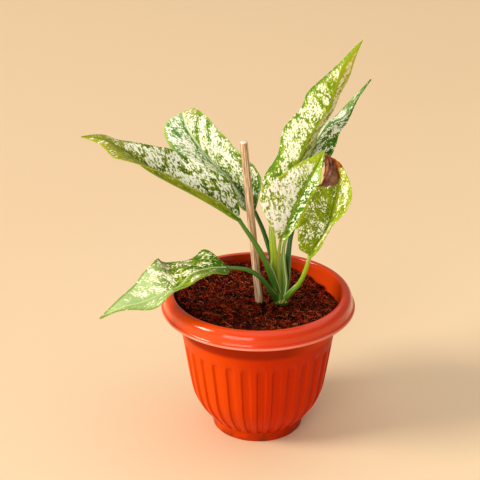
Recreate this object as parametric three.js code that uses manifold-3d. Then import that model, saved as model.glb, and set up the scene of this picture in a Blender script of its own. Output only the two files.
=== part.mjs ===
// A variegated chinese evergreen in a fluted plastic nursery pot, with a bamboo stake.
// Millimetres, +Z up. The origin is the centre of the pot's flat underside. The plant's
// tallest leaves lean to +X, and the long low leaf reaches out to -X.
import * as THREE from 'three';
import { mergeVertices } from 'three/addons/utils/BufferGeometryUtils.js';
import Module from 'manifold-3d';

const wasm = await Module();
wasm.setup();

// ---------------------------------------------------------------- driving dimensions

const GAP = 0.3;                  // clearance kept between touching pieces

const FOOT_RADIUS = 47;           // foot ring that the pot stands on
const FOOT_HEIGHT = 9;
const SHOULDER_RADIUS = 77.7;     // body where the flutes end in their arches
const SHOULDER_HEIGHT = 101.2;
const BEAD_RADIUS = 99.6;         // thin bead round the lip's lower edge, its widest part
const LIP_BOTTOM = 136;
const LIP_HOLLOW = 144.5;         // top of the hollow under the lip
const ROLL_CENTRE = [88.5, 144];  // the lip is rolled over in a quarter ellipse
const ROLL_ACROSS = 8;
const MOUTH_RADIUS = 87;          // inner edge of the lip
const POT_HEIGHT = 153;
const ROUND_SEGMENTS = 60;        // facets of the lip, the pot's inside and the soil

const FLUTES = 30;
const FLUTE_DEPTH = 2.4;
const FLUTE_SHARE = 0.6;          // part of each pitch that is groove
const FLUTE_FLOOR = 0.62;         // part of the groove that is its flat floor
const FLUTE_PHASE = 2.1;          // degrees, the front flute sits a little right of centre

const DRAIN_HOLES = 6;
const DRAIN_RADIUS = 4;
const DRAIN_CIRCLE = 30;
const FLOOR_THICKNESS = 3.5;

const SOIL_LEVEL = 143.5;         // height of the soil's surface at the pot's axis
const SOIL_SLOPE = -0.075;        // the soil lies higher on the left than on the right
const SOIL_LUMP = 1.1;

const CROWN_AT = [23, -10];
const CROWN_RADIUS = 8;
const CROWN_TOP = 152;
const CROWN_ROOT = 112;           // the short stem stands this deep in the soil

const STAKE_RADIUS = 4;
const STAKE_FOOT = [6.5, -7, 85]; // lower end, pushed into the soil
const STAKE_TOP = [-15, -10, 319];

const BLADE = 0.8;                // leaf blade thickness
const RIB_AT_BASE = 2.6;          // thickness through the midrib at the leaf's base
const RIB_AT_TIP = 1.0;
const BASE_HALF = 1.5;            // half width that the blade keeps at its ends
const TIP_HALF = 0.35;
const ROUND_BASE = 0.55;          // exponents of the blade's outline: round base,
const SLIM_TIP = 0.95;            // drawn-out tip
const LOBE_REACH = 0.22;          // share of the length over which a base lobe fades
const FRAME_SPAN = 0.08;          // share of the length that sets the blade's direction
const ARCH = 0.05;                // rise of each half between midrib and margin, of its width

// ---------------------------------------------------------------- small tools

// Point on the smooth curve through evenly spaced rows of numbers, u from 0 to 1.
function through(rows, u) {
  const last = rows.length - 1;
  const at = Math.min(Math.max(u, 0), 1) * last;
  const i = Math.min(Math.floor(at), last - 1);
  const t = at - i;
  const blend = (a, b, c, d) => 0.5 * (2 * b + (c - a) * t
    + (2 * a - 5 * b + 4 * c - d) * t * t + (3 * b - a - 3 * c + d) * t * t * t);
  const pick = (k, axis) => {
    const value = (n) => (axis === undefined ? rows[n] : rows[n][axis]);
    if (k < 0) return 2 * value(0) - value(1);
    if (k > last) return 2 * value(last) - value(last - 1);
    return value(k);
  };
  const one = (axis) => blend(pick(i - 1, axis), pick(i, axis), pick(i + 1, axis), pick(i + 2, axis));
  return Array.isArray(rows[0]) ? new THREE.Vector3(one(0), one(1), one(2)) : one();
}

// Closed geometry from positions and triangles: equal vertices merged, collapsed triangles
// dropped and faces turned outwards.
function closed(geometry) {
  geometry.deleteAttribute('normal');
  geometry.deleteAttribute('uv');
  const merged = mergeVertices(geometry, 1e-3);
  const index = merged.getIndex().array;
  const kept = [];
  for (let i = 0; i < index.length; i += 3) {
    const [a, b, c] = [index[i], index[i + 1], index[i + 2]];
    if (a !== b && b !== c && c !== a) kept.push(a, b, c);
  }
  const p = merged.getAttribute('position');
  const corner = (n) => new THREE.Vector3().fromBufferAttribute(p, n);
  let volume = 0;
  for (let i = 0; i < kept.length; i += 3) {
    volume += corner(kept[i]).dot(corner(kept[i + 1]).cross(corner(kept[i + 2])));
  }
  if (volume < 0) kept.reverse();
  merged.setIndex(kept);
  return merged;
}

function solidOf(geometry) {
  const tidy = closed(geometry);
  return new wasm.Manifold(new wasm.Mesh({
    numProp: 3,
    vertProperties: new Float32Array(tidy.getAttribute('position').array),
    triVerts: new Uint32Array(tidy.getIndex().array),
  }));
}

// The largest body of a solid, as geometry: a cut may leave loose scraps.
function geometryOf(solid) {
  const bodies = solid.decompose().sort((a, b) => b.volume() - a.volume());
  const mesh = bodies[0].getMesh();
  const geometry = new THREE.BufferGeometry();
  geometry.setAttribute('position', new THREE.BufferAttribute(new Float32Array(mesh.vertProperties), 3));
  geometry.setIndex([...mesh.triVerts]);
  geometry.computeVertexNormals();
  return geometry;
}

// Skin over a grid of rows of points. Closed rows run round a ring, open ones are flat strips.
function triangles(rows, columns, ringed) {
  const faces = [];
  const across = ringed ? columns : columns - 1;
  for (let r = 0; r < rows - 1; r += 1) {
    for (let c = 0; c < across; c += 1) {
      const a = r * columns + c;
      const b = r * columns + ((c + 1) % columns);
      faces.push(a, b, b + columns, a, b + columns, a + columns);
    }
  }
  return faces;
}

function fromPoints(points, faces) {
  const geometry = new THREE.BufferGeometry();
  geometry.setAttribute('position', new THREE.Float32BufferAttribute(points.flatMap((p) => p.toArray()), 3));
  geometry.setIndex(faces);
  return geometry;
}

// A solid of revolution about the Z axis from [radius, height] pairs.
function turned(profile, segments) {
  const geometry = new THREE.LatheGeometry(profile.map(([r, z]) => new THREE.Vector2(r, z)), segments);
  return geometry.rotateX(Math.PI / 2);
}

// ---------------------------------------------------------------- pot

const POT_PLASTIC = new THREE.MeshStandardMaterial({ color: 0xc8401c, roughness: 0.3, metalness: 0 });

// Outside of the pot from the floor up to the lip: radius, height, and how much of a flute
// is open there, from 0 for a plain round to 1 for its full width.
const BODY = [
  [0, 0, 0],
  [FOOT_RADIUS - 0.6, 0, 0],
  [FOOT_RADIUS, FOOT_HEIGHT, 0],
  [48, 10.2, 0.04],
  [49.4, 11.8, 0.7],
  [51.6, 14.5, 1],
  [55.8, 19.8, 1],
  [61, 27, 1],
  [66, 36, 1],
  [70, 50, 1],
  [75.2, 84, 1],
  [77, 96.6, 1],
  [77.4, 99, 0.84],
  [77.6, 100.6, 0.5],
  [SHOULDER_RADIUS, SHOULDER_HEIGHT, 0.04],
  [SHOULDER_RADIUS + 0.1, SHOULDER_HEIGHT + 0.3, 0],
  [85, LIP_HOLLOW + 1.5, 0],
  [0, LIP_HOLLOW + 1.5, 0],
];

// Rolled lip: a ring with a hollow underside, a bead round its lower edge and a groove over
// the bead, closed over its top and inner edge.
const LIP = [
  [80, LIP_HOLLOW],
  [92.8, LIP_HOLLOW],
  [96.2, 141.6],
  [96.3, LIP_BOTTOM + 1],
  [97.4, LIP_BOTTOM],
  [BEAD_RADIUS - 0.7, LIP_BOTTOM],
  [BEAD_RADIUS, LIP_BOTTOM + 1.3],
  [99, LIP_BOTTOM + 2.3],
  [97.4, LIP_BOTTOM + 3.6],
  ...[0, 25, 50, 72, 90].map((turn) => {
    const angle = THREE.MathUtils.degToRad(turn);
    const rise = (POT_HEIGHT - ROLL_CENTRE[1]) * Math.sin(angle);
    return [ROLL_CENTRE[0] + ROLL_ACROSS * Math.cos(angle), ROLL_CENTRE[1] + rise];
  }),
  [MOUTH_RADIUS, POT_HEIGHT - 1],
  [80, POT_HEIGHT - 1],
  [80, LIP_HOLLOW],
];

// Inside of the pot, from the floor to the mouth.
const INSIDE = [
  [0, FLOOR_THICKNESS],
  [FOOT_RADIUS - 3, FLOOR_THICKNESS],
  [48, 15],
  [60, 34],
  [67, 58],
  [73.5, SHOULDER_HEIGHT],
  [84.2, POT_HEIGHT - 3],
  [MOUTH_RADIUS, POT_HEIGHT - 1],
];

function insideRadius(height) {
  for (let i = 1; i < INSIDE.length - 1; i += 1) {
    const [r0, z0] = INSIDE[i];
    const [r1, z1] = INSIDE[i + 1];
    if (height <= z1) return r0 + (r1 - r0) * Math.max(0, height - z0) / (z1 - z0);
  }
  return MOUTH_RADIUS;
}

// The lathe has four columns to a flute: its two edges and the two sides of its floor.
function flutedBody() {
  const segments = FLUTES * 4;
  const geometry = turned(BODY, segments);
  const position = geometry.getAttribute('position');
  const pitch = (2 * Math.PI) / FLUTES;
  for (let s = 0; s <= segments; s += 1) {
    const flute = Math.floor(s / 4);
    const column = s % 4;
    const floor = column === 1 || column === 2;
    const side = column < 2 ? -1 : 1;
    BODY.forEach(([radius, height, open], j) => {
      const edge = open > 0 ? open * FLUTE_SHARE * pitch / 2 : pitch * 0.375;
      const reach = floor ? (open > 0 ? FLUTE_FLOOR : 1 / 3) : 1;
      const front = THREE.MathUtils.degToRad(FLUTE_PHASE) - Math.PI / 2;
      const angle = front + flute * pitch + side * reach * edge;
      const r = floor ? radius - FLUTE_DEPTH * open : radius;
      position.setXYZ(s * BODY.length + j, r * Math.cos(angle), r * Math.sin(angle), height);
    });
  }
  return geometry;
}

function pot() {
  const cavity = [...INSIDE, [MOUTH_RADIUS + 4, POT_HEIGHT + 3], [0, POT_HEIGHT + 3]];
  const outside = solidOf(flutedBody()).add(solidOf(turned(LIP, ROUND_SEGMENTS)));
  let solid = outside.subtract(solidOf(turned(cavity, ROUND_SEGMENTS)));
  for (let i = 0; i < DRAIN_HOLES; i += 1) {
    const angle = (2 * Math.PI * i) / DRAIN_HOLES;
    const drill = new THREE.CylinderGeometry(DRAIN_RADIUS, DRAIN_RADIUS, 4 * FLOOR_THICKNESS, 12);
    drill.rotateX(Math.PI / 2);
    drill.translate(DRAIN_CIRCLE * Math.cos(angle), DRAIN_CIRCLE * Math.sin(angle), 0);
    solid = solid.subtract(solidOf(drill));
  }
  return geometryOf(solid);
}

// ---------------------------------------------------------------- soil, crown and stake

const SOIL = new THREE.MeshStandardMaterial({ color: 0x4a1a10, roughness: 0.95, metalness: 0 });
const CANE = new THREE.MeshStandardMaterial({ color: 0xc79a6b, roughness: 0.7, metalness: 0 });

function soilHeight(x, y) {
  const lumps = Math.sin(0.21 * x + 1.3) * Math.cos(0.17 * y) + Math.sin(0.11 * x - 0.29 * y)
    + 0.6 * Math.cos(0.43 * x + 0.37 * y);
  const hollow = 5 * Math.exp(-((x - 78) ** 2 + (y - 34) ** 2) / 900);
  return SOIL_LEVEL + SOIL_SLOPE * x - hollow + SOIL_LUMP * 0.5 * lumps;
}

function soilBody() {
  const rings = [76, 64, 50, 35, 18, 0];
  const wall = INSIDE.slice(1, -2).map(([r, z]) => [r - 1.5 * GAP, Math.max(z, FLOOR_THICKNESS + GAP)]);
  const profile = [[0, FLOOR_THICKNESS + GAP], ...wall, [1, SOIL_LEVEL], ...rings.map((r) => [r, SOIL_LEVEL])];
  const brim = wall.length + 1;
  const geometry = turned(profile, ROUND_SEGMENTS);
  const position = geometry.getAttribute('position');
  for (let i = 0; i < position.count; i += 1) {
    const j = i % profile.length;
    if (j < brim) continue;
    const angle = Math.atan2(position.getY(i), position.getX(i));
    let radius = Math.hypot(position.getX(i), position.getY(i));
    if (j === brim) {
      const height = soilHeight(84 * Math.cos(angle), 84 * Math.sin(angle));
      radius = insideRadius(height) - 1.5 * GAP;
      position.setX(i, radius * Math.cos(angle));
      position.setY(i, radius * Math.sin(angle));
      position.setZ(i, height);
    } else {
      position.setZ(i, soilHeight(position.getX(i), position.getY(i)));
    }
  }
  return geometry;
}

// Short stem that the leaf stalks spring from, standing in its hole in the soil.
function crownSolid(clearance) {
  const r = CROWN_RADIUS + clearance;
  const profile = [
    [0, CROWN_ROOT - clearance],
    [r * 0.7, CROWN_ROOT - clearance],
    [r, CROWN_ROOT + 8],
    [r, 142],
    [r * 0.86, CROWN_TOP - 4 + clearance],
    [r * 0.6, CROWN_TOP - 1 + clearance],
    [0, CROWN_TOP + clearance],
  ];
  return solidOf(turned(profile, 16)).translate([CROWN_AT[0], CROWN_AT[1], 0]);
}

function stakeSolid(clearance) {
  const foot = new THREE.Vector3(...STAKE_FOOT);
  const axis = new THREE.Vector3(...STAKE_TOP).sub(foot);
  const radius = STAKE_RADIUS + clearance;
  const cane = new THREE.CylinderGeometry(radius * 0.95, radius, axis.length() + 2 * clearance, 12);
  cane.applyQuaternion(new THREE.Quaternion().setFromUnitVectors(
    new THREE.Vector3(0, 1, 0),
    axis.clone().normalize(),
  ));
  cane.translate(...foot.addScaledVector(axis, 0.5).toArray());
  return solidOf(cane);
}

function soil() {
  const shaft = new THREE.CylinderGeometry(CROWN_RADIUS + GAP, CROWN_RADIUS + GAP, 60, 16);
  shaft.rotateX(Math.PI / 2);
  shaft.translate(CROWN_AT[0], CROWN_AT[1], CROWN_ROOT - GAP + 30);
  return geometryOf(solidOf(soilBody()).subtract(solidOf(shaft)).subtract(stakeSolid(GAP)));
}

// ---------------------------------------------------------------- leaf stalks

const STALK_SIDES = 8;
const STALK_STEPS = 12;

// Each stalk: its path from inside the crown to the blade, and its radius at foot and top.
const STALKS = {
  petiole_a: {
    color: 0x3f6b1c,
    path: [[19, -13, 149], [14, -17, 158], [8, -20, 170], [1.5, -23, 179], [-8.5, -25, 187],
      [-19, -26, 190], [-31.8, -26, 191]],
    radius: [3.8, 1.9],
  },
  petiole_b: {
    color: 0x3f6b1c,
    path: [[19.5, -13, 150], [17.5, -15, 162], [14, -17, 176], [9, -19, 190], [3, -20.5, 204],
      [-4.5, -22, 218], [-12.5, -23, 231], [-19.8, -24, 242.8]],
    radius: [5, 2.1],
  },
  petiole_c: {
    color: 0x35601a,
    path: [[19, -8, 149], [16, -5, 172], [13.5, -1, 190], [10, 5, 201], [5, 10, 215], [0.5, 13, 225],
      [-3.8, 16, 233.8]],
    radius: [3.6, 2],
  },
  petiole_d: {
    color: 0x9ab52a,
    path: [[20.5, -10, 149], [17.5, -9, 164], [16, -8, 181], [15.5, -7, 196], [14, -5, 211], [14, -2, 224],
      [19, 2, 238.7]],
    radius: [4.8, 3],
  },
  petiole_e: {
    color: 0x3f6b1c,
    path: [[26, -7, 149], [29.5, -5, 163], [30, -2, 178], [30.5, 1, 192], [32, 6, 205], [34.9, 13, 214.8]],
    radius: [4.2, 2.2],
  },
  petiole_f: {
    color: 0x7d9430,
    path: [[23, -14, 150], [21.5, -15, 166], [20.5, -16, 181], [20, -16.5, 195], [20.8, -16.5, 207],
      [21.9, -16, 215.7]],
    radius: [3.2, 1.5],
  },
  petiole_g: {
    color: 0x8fae3a,
    path: [[27, -13, 150], [33, -17, 159], [39, -19, 167], [43.5, -21, 176], [46.5, -22.5, 185],
      [49, -24, 195], [51, -24, 203.7]],
    radius: [3.8, 2],
  },
  young_shoot: {
    color: 0x86ae4a,
    path: [[26, -12, 150], [27.5, -13, 166], [26, -12, 181], [25, -11, 194], [25.5, -10, 207],
      [29, -8, 220], [30, -7, 232]],
    radius: [4.2, 1],
  },
};

function stalkSolid(stalk, clearance) {
  const curve = new THREE.CatmullRomCurve3(stalk.path.map((p) => new THREE.Vector3(...p)));
  const frames = curve.computeFrenetFrames(STALK_STEPS);
  const points = [];
  for (let i = 0; i <= STALK_STEPS; i += 1) {
    const u = i / STALK_STEPS;
    const centre = curve.getPointAt(u);
    if (i === STALK_STEPS) centre.addScaledVector(frames.tangents[i], clearance);
    const radius = THREE.MathUtils.lerp(stalk.radius[0], stalk.radius[1], u ** 0.7) + clearance;
    for (let k = 0; k < STALK_SIDES; k += 1) {
      const angle = (2 * Math.PI * k) / STALK_SIDES;
      points.push(centre.clone()
        .addScaledVector(frames.normals[i], radius * Math.cos(angle))
        .addScaledVector(frames.binormals[i], radius * Math.sin(angle)));
    }
  }
  const faces = triangles(STALK_STEPS + 1, STALK_SIDES, true);
  const top = STALK_STEPS * STALK_SIDES;
  for (let k = 1; k < STALK_SIDES - 1; k += 1) {
    faces.push(0, k + 1, k, top, top + k, top + k + 1);
  }
  return solidOf(fromPoints(points, faces));
}

// ---------------------------------------------------------------- leaf blades

// A blade is set out along its midrib. Each half has its width, as if the outline were the
// plain leaf shape of that half width, and its fold out of the blade's plane towards the side
// that `faces` names, in degrees. Both run from base to tip.
const LEAVES = {
  leaf_a: {
    color: 0x9dbb55,
    midrib: [[-32, -26, 191], [-49, -34, 194], [-66, -42, 192], [-78, -48, 181], [-94, -52, 175],
      [-113, -56, 168], [-133, -60, 164], [-157, -62, 153]],
    faces: [-0.15, -0.8, 0.6],
    left: { half: [48, 29, 32, 32, 36, 28, 29], fold: [60, 60, 70, 55, 85] },
    right: { half: [16, 42, 32, 28, 32, 37, 38, 36, 36, 34, 31, 29, 27], fold: [-25, -45, -5, -15, -25] },
    lobe: [-3.5, 0],
    wave: 1.4,
  },
  leaf_b: {
    color: 0x9db862,
    midrib: [[-20, -24, 243], [-41, -22, 256], [-64, -20, 269], [-87, -18, 281], [-109, -16, 294],
      [-132, -14, 312], [-150, -14, 323], [-172, -14, 326]],
    faces: [0.1, -0.75, 0.65],
    left: { half: [34, 33, 31, 27, 26, 34, 44, 26, 20], fold: [80, 80, 82, 75, 40, 30] },
    right: { half: [30, 38, 31, 33, 34, 27, 23, 29, 24], fold: [-20, -5, -15, -15, -50, -40] },
    lobe: [0, 0],
    wave: 1.2,
  },
  leaf_c: {
    color: 0xa3bd7a,
    midrib: [[-4, 16, 234], [-15, 23, 245], [-30, 32, 263], [-45, 42, 274], [-60, 53, 289], [-72, 66, 304],
      [-77, 83, 314], [-78, 104, 306]],
    faces: [0, -0.8, 0.6],
    left: { half: [30, 29, 30, 31, 35, 38, 34], fold: [50, 65, 50, 30, -5, -30] },
    right: { half: [28, 34, 31, 33, 35, 32, 28], fold: [60, 40, 45, 40, 20, 0] },
    lobe: [0, 0],
    wave: 1.2,
  },
  leaf_d: {
    color: 0xaac35c,
    midrib: [[19, 2, 239], [27, 6, 265], [40, 10, 292], [52, 14, 317], [67, 17, 340], [76, 20, 365],
      [85, 22, 389], [100, 22, 411]],
    faces: [-0.2, -0.85, 0.5],
    left: { half: [31, 29, 21, 26, 24, 30, 22, 10, 16], fold: [10, 10, 10, 10, 10] },
    right: { half: [32, 32, 31, 28, 29, 30, 14], fold: [-95, -96, -96, -88, -92, -92, -74, -68, -60] },
    lobe: [0, 0],
    wave: 1.6,
  },
  leaf_e: {
    color: 0x86a866,
    midrib: [[35, 13, 215], [39, 24, 242], [46, 34, 268], [56, 42, 293], [69, 48, 313], [86, 53, 322],
      [99, 57, 341], [112, 60, 359]],
    faces: [-0.2, -0.85, 0.5],
    left: { half: [27, 27, 27, 27, 29, 26, 27], fold: [-60, -65, -75, -60, -70] },
    right: { half: [27, 26, 24, 28, 29, 26, 26], fold: [35, 45, 35, 65, 65] },
    lobe: [0, 0],
    wave: 1,
  },
  leaf_f: {
    color: 0xb3c65a,
    midrib: [[22, -16, 216], [29, -14, 232], [36, -12, 252], [43, -11, 267], [50, -12, 282],
      [57, -14, 296], [63, -18, 312]],
    faces: [0, -0.9, 0.42],
    left: { half: [8, 24, 37, 33, 28, 30, 30], fold: [45, 20, 20, 15, 15] },
    right: { half: [8, 9, 20, 29, 30, 28, 28], fold: [30, 35, 40, 55, 70] },
    lobe: [3, 0],
    wave: 1,
  },
  leaf_g: {
    color: 0xa6bf4c,
    midrib: [[51, -24, 204], [63, -32, 228], [70, -36, 245], [73, -38, 260], [76, -39, 278],
      [77, -38, 293], [72, -37, 307], [63, -38, 316]],
    faces: [0, -0.9, 0.42],
    left: { half: [26, 32, 31, 30, 28, 33, 37], fold: [30, 20, 20, 25, 0] },
    right: { half: [23, 21, 15, 12, 20, 30, 20, 25, 26], fold: [75, 85, 60, 65, 70] },
    lobe: [5, 0],
    wave: 1.2,
  },
};

// The front right leaf has died back: its brown end starts here on each half.
const DRY_FROM = { left: 0.64, right: 0.82 };
const DRY_BROWN = 0x6e4322;
const DRY_CRUMPLE = 1.6;

function outline(s) {
  const peak = ROUND_BASE / (ROUND_BASE + SLIM_TIP);
  return (s / peak) ** ROUND_BASE * ((1 - s) / (1 - peak)) ** SLIM_TIP;
}

// Point of the blade's upper face: s runs from base to tip, v from -1 at the left margin
// over 0 at the midrib to 1 at the right margin.
function bladePoint(leaf, s, v) {
  const centre = through(leaf.midrib, s);
  const along = through(leaf.midrib, s + FRAME_SPAN).sub(through(leaf.midrib, s - FRAME_SPAN)).normalize();
  const across = along.clone().cross(new THREE.Vector3(...leaf.faces)).normalize();
  const up = across.clone().cross(along);
  const side = v < 0 ? -1 : 1;
  const half = v < 0 ? leaf.left : leaf.right;
  const a = Math.abs(v);
  const width = through(half.half, s) * outline(s) + THREE.MathUtils.lerp(BASE_HALF, TIP_HALF, s);
  const fold = THREE.MathUtils.degToRad(through(half.fold, s));
  const outward = across.clone().multiplyScalar(side * Math.cos(fold)).addScaledVector(up, Math.sin(fold));
  const normal = up.clone().multiplyScalar(Math.cos(fold)).addScaledVector(across, -side * Math.sin(fold));
  const ripple = leaf.wave * a * a * outline(s) * Math.sin(2 * Math.PI * (3.3 * s + 0.27 * side));
  const lobe = leaf.lobe[v < 0 ? 0 : 1];
  const back = lobe * a * a * Math.exp(-((s / LOBE_REACH) ** 2)) * Math.min(1, s / 0.04);
  return centre.addScaledVector(outward, width * a)
    .addScaledVector(normal, width * ARCH * 4 * a * (1 - a) + ripple)
    .addScaledVector(along, -back);
}

const ACROSS = [-1, -0.78, -0.48, -0.18, 0, 0.18, 0.48, 0.78, 1];

// A thin solid over the part of the blade between from(v) and to(v), with the same triangles
// on both faces. Its underside follows the vertex normals, and is thicker under the midrib.
function bladeSolid(leaf, steps, from, to, crumple) {
  const rows = steps + 1;
  const columns = ACROSS.length;
  const top = [];
  for (let i = 0; i < rows; i += 1) {
    ACROSS.forEach((v, k) => {
      const s = THREE.MathUtils.lerp(from(v), to(v), i / steps);
      const point = bladePoint(leaf, s, v);
      const bend = crumple * Math.sin(2.1 * i + 1.7 * k) * Math.min(1, i / 2) * outline(s);
      top.push(point.add(new THREE.Vector3(0.3, -0.9, 0.3).multiplyScalar(bend)));
    });
  }
  const at = (i, k) => top[Math.min(Math.max(i, 0), rows - 1) * columns + Math.min(Math.max(k, 0), columns - 1)];
  const under = top.map((point, n) => {
    const i = Math.floor(n / columns);
    const k = n % columns;
    const along = at(i + 1, k).clone().sub(at(i - 1, k));
    const lateral = at(i, k + 1).clone().sub(at(i, k - 1));
    const normal = lateral.cross(along).normalize();
    const s = THREE.MathUtils.lerp(from(ACROSS[k]), to(ACROSS[k]), i / steps);
    const thick = ACROSS[k] === 0 ? THREE.MathUtils.lerp(RIB_AT_BASE, RIB_AT_TIP, s) : BLADE;
    return point.clone().addScaledVector(normal, -thick);
  });
  const half = rows * columns;
  const upper = triangles(rows, columns, false);
  const faces = [...upper];
  for (let i = 0; i < upper.length; i += 3) {
    faces.push(half + upper[i], half + upper[i + 2], half + upper[i + 1]);
  }
  const rim = [];
  for (let k = 0; k < columns - 1; k += 1) rim.push([k, k + 1]);
  for (let i = 0; i < rows - 1; i += 1) rim.push([i * columns + columns - 1, (i + 1) * columns + columns - 1]);
  for (let k = columns - 1; k > 0; k -= 1) rim.push([(rows - 1) * columns + k, (rows - 1) * columns + k - 1]);
  for (let i = rows - 1; i > 0; i -= 1) rim.push([i * columns, (i - 1) * columns]);
  rim.forEach(([a, b]) => faces.push(b, a, half + a, b, half + a, half + b));
  return solidOf(fromPoints([...top, ...under], faces));
}

const BLADE_STEPS = 20;
const DRY_STEPS = 7;

// ---------------------------------------------------------------- assembly

const evergreen = new THREE.Group();

function place(name, geometry, material) {
  const mesh = new THREE.Mesh(geometry, material);
  mesh.name = name;
  evergreen.add(mesh);
}

place('pot', pot(), POT_PLASTIC);
place('soil', soil(), SOIL);
place('stake', geometryOf(stakeSolid(0)), CANE);
place('crown', geometryOf(crownSolid(0)), new THREE.MeshStandardMaterial({ color: 0x7d9c33, roughness: 0.5 }));

// A stalk is cut back by the crown and by the stalks placed before it.
const placed = [crownSolid(GAP)];
for (const [name, stalk] of Object.entries(STALKS)) {
  const solid = placed.reduce((rest, other) => rest.subtract(other), stalkSolid(stalk, 0));
  placed.push(stalkSolid(stalk, GAP));
  place(name, geometryOf(solid), new THREE.MeshStandardMaterial({ color: stalk.color, roughness: 0.45 }));
}

const fromBase = () => 0;
const toTip = () => 1;
const dryEdge = (v) => THREE.MathUtils.lerp(DRY_FROM.left, DRY_FROM.right, THREE.MathUtils.smoothstep(v, -0.3, 0.5));

for (const [name, leaf] of Object.entries(LEAVES)) {
  const end = name === 'leaf_g' ? dryEdge : toTip;
  const blade = bladeSolid(leaf, BLADE_STEPS, fromBase, end, 0);
  const solid = placed.reduce((rest, other) => rest.subtract(other), blade);
  place(name, geometryOf(solid), new THREE.MeshStandardMaterial({ color: leaf.color, roughness: 0.4 }));
}

const dryStart = (v) => dryEdge(v) + 0.004;
const dryTip = bladeSolid(LEAVES.leaf_g, DRY_STEPS, dryStart, toTip, DRY_CRUMPLE);
place('dry_tip_g', geometryOf(dryTip), new THREE.MeshStandardMaterial({ color: DRY_BROWN, roughness: 0.8 }));

export default evergreen;
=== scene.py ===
# A variegated chinese evergreen in a fluted plastic pot, with a bamboo stake beside it.
# Metres, +Z up, from the centre of the pot's underside. The tall leaves lean to +X.
import functools
import random
from math import atan2, cos, exp, hypot, pi, radians, sin, sqrt

import bpy
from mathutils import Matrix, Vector, noise


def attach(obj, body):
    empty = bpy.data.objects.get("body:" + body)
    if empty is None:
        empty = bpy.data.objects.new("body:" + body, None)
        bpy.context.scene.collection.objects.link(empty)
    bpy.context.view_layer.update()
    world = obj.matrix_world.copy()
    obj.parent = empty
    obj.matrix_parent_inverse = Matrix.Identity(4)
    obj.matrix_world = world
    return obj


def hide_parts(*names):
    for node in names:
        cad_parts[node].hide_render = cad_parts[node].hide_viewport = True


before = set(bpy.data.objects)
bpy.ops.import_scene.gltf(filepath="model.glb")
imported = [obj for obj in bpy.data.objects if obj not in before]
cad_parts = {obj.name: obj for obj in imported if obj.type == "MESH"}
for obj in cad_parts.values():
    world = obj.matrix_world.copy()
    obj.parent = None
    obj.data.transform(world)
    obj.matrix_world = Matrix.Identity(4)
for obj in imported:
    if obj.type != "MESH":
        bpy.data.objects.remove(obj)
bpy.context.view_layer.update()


# ------------------------ table top, light and view
# The pot stands on a pale, smooth table top and is seen from a metre and a half away, from a
# little above. Soft daylight falls in from the left, and a paler light fills the front.

CAMERA_AT = (-0.0185, -1.3694, 0.8476)
CAMERA_LOOKS_DOWN = radians(25)
CAMERA_LENS = 112.5
TABLE_WIDTH = 14
TABLE_DROP = 0.0001
TABLE_MOTTLE = 0.5
# The table's own pale colour, then a darker tone that is painted in as shade.
TABLE_COLOURS = ("f2d9b6", "ebd0ac")
SKY_COLOUR = "fff3e2"
SKY_STRENGTH = 0.29
LIGHTS = {
    "window": {"at": (-8.4, -2.1, 5.4), "size": 3.6, "power": 880, "colour": "fff4e2"},
    "ceiling": {"at": (0.6, 0.4, 3.6), "size": 6, "power": 82, "colour": "fffaf4"},
    "front_fill": {"at": (-1.6, -3.6, 1.0), "size": 2.4, "power": 80, "colour": "fffaf2"},
}
LIGHTS_AIM_AT = Vector((0, 0, 0.16))


def paint(code):
    """Linear colour of a display colour that is written as six hexadecimal digits."""
    shares = [int(code[k:k + 2], 16) / 255 for k in (0, 2, 4)]
    linear = [c / 12.92 if c < 0.04045 else ((c + 0.055) / 1.055) ** 2.4 for c in shares]
    return (*linear, 1)


def paints(colours):
    """Linear colours under the names of the display colours."""
    return {part: paint(code) for part, code in colours.items()}


class Value:
    """What a socket of a material gives. Sums and products of it add the Math nodes."""

    def __init__(self, finish, socket):
        self.finish = finish
        self.socket = socket

    def __getitem__(self, output):
        return Value(self.finish, self.socket.node.outputs[output])

    def maths(self, operation, *terms):
        return self.finish.node("ShaderNodeMath", {"operation": operation}, dict(enumerate(terms)))

    def __add__(self, other):
        return self.maths("ADD", self, other)

    def __radd__(self, other):
        return self.maths("ADD", other, self)

    def __sub__(self, other):
        return self.maths("SUBTRACT", self, other)

    def __rsub__(self, other):
        return self.maths("SUBTRACT", other, self)

    def __mul__(self, other):
        return self.maths("MULTIPLY", self, other)

    def __rmul__(self, other):
        return self.maths("MULTIPLY", other, self)

    def __pow__(self, other):
        return self.maths("POWER", self, other)

    def __abs__(self):
        return self.maths("ABSOLUTE", self)

    def rise(self, low, high):
        """0 below low, 1 above high and smooth between. It falls where low is over high."""
        flip = low > high
        ends = {"From Min": min(low, high), "From Max": max(low, high), "Value": self}
        ends.update({"To Min": 1.0, "To Max": 0.0} if flip else {})
        return self.finish.node("ShaderNodeMapRange", {"interpolation_type": "SMOOTHSTEP"}, ends)


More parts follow.
